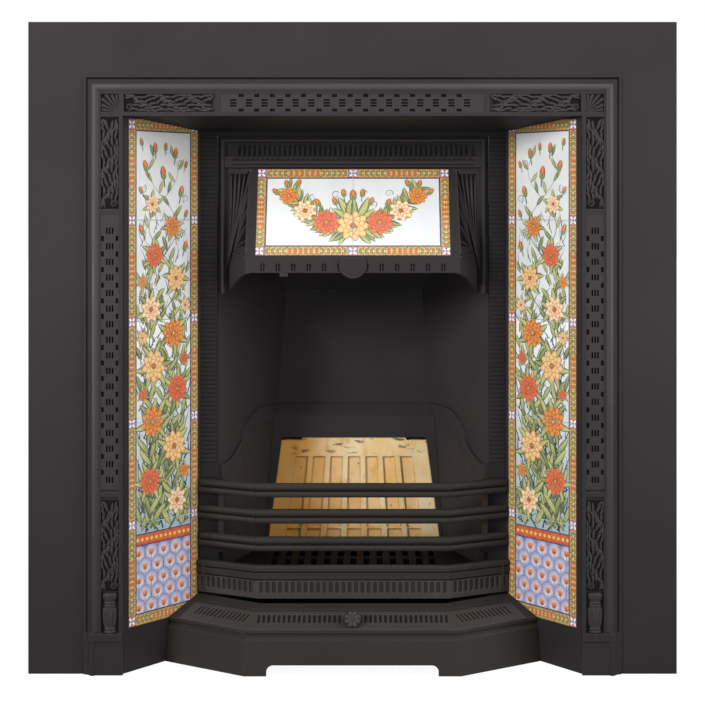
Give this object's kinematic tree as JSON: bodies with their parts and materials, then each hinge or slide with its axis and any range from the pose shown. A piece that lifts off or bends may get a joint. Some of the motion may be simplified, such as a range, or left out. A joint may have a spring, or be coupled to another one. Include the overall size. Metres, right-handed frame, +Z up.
{
  "type": "cast iron fireplace",
  "caption": "Tiled cast iron fireplace insert with moulded frame, splayed tile panels, hood, fire basket, damper and ash pan.",
  "frame": {"origin": "on the hearth, in the middle of the footprint (left to right and front to back)", "axes": "+X to the right of someone facing the fire, +Y back into the wall, +Z up"},
  "size_m": [0.965, 0.367, 0.97],
  "materials": {
    "cast_iron": "graphite-polished satin black",
    "glazed_tile": "gloss glaze",
    "fireclay": "matt buff fireclay",
    "black_sheet": "matt black stove paint",
    "zinc_steel": "zinc-plated"
  },
  "bodies": {
    "root": {"arch_bolts": "zinc_steel", "arch_plate": "cast_iron", "ashpit_floor": "cast_iron", "back_liner": "cast_iron", "canopy_bolts": "zinc_steel", "canopy_hood": "cast_iron", "damper_pins": "zinc_steel", "fireback_brick": "fireclay", "firebox_back_wall": "cast_iron", "firebox_left_wall": "cast_iron", "firebox_right_wall": "cast_iron", "front_surround": "cast_iron", "header_soffit": "cast_iron", "hood_back_plate": "cast_iron", "hood_frame": "cast_iron", "hood_frame_bolts": "zinc_steel", "hood_tile_left": "glazed_tile", "hood_tile_retainers": "black_sheet", "hood_tile_right": "glazed_tile", "left_liner_cheek": "cast_iron", "left_tile_1": "glazed_tile", "left_tile_2": "glazed_tile", "left_tile_3": "glazed_tile", "left_tile_4": "glazed_tile", "left_tile_5": "glazed_tile", "left_tile_back_plate": "black_sheet", "left_tile_frame": "cast_iron", "left_tile_screws": "zinc_steel", "left_wall_lugs": "black_sheet", "lower_fret": "cast_iron", "lug_bolts": "zinc_steel", "right_liner_cheek": "cast_iron", "right_tile_1": "glazed_tile", "right_tile_2": "glazed_tile", "right_tile_3": "glazed_tile", "right_tile_4": "glazed_tile", "right_tile_5": "glazed_tile", "right_tile_back_plate": "black_sheet", "right_tile_frame": "cast_iron", "right_tile_screws": "zinc_steel", "right_wall_lugs": "black_sheet", "surround_bolts": "zinc_steel", "throat_plate": "cast_iron"},
    "ashpit_cover_body": {"ashpit_cover": "cast_iron", "cover_knob": "cast_iron", "knob_stud": "zinc_steel"},
    "ash_pan_body": {"ash_pan": "black_sheet", "ash_pan_handle": "black_sheet"},
    "front_bars_body": {"front_bars": "cast_iron"},
    "bottom_grate_body": {"bottom_grate": "cast_iron"},
    "damper_body": {"damper_flap": "cast_iron"}
  },
  "joints": [
    {"name": "cover_draw", "type": "slide", "parent": "root", "child": "ashpit_cover_body", "axis": [0, -1, 0], "range_m": [0, 0.4]},
    {"name": "pan_draw", "type": "slide", "parent": "root", "child": "ash_pan_body", "axis": [0, -1, 0], "range_m": [0, 0.24]},
    {"name": "bars_lift", "type": "slide", "parent": "root", "child": "front_bars_body", "axis": [0, 0, 1], "range_m": [0, 0.06]},
    {"name": "grate_lift", "type": "slide", "parent": "root", "child": "bottom_grate_body", "axis": [0, 0, 1], "range_m": [0, 0.05]},
    {"name": "damper_turn", "type": "hinge", "parent": "root", "child": "damper_body", "pos_m": [0, 0.0635, 0.6599], "axis": [-1, 0, 0], "range_deg": [0, 70]}
  ],
  "couplings": [
    {"joint": "pan_draw", "follows": "cover_draw", "ratio": 0.6}
  ]
}
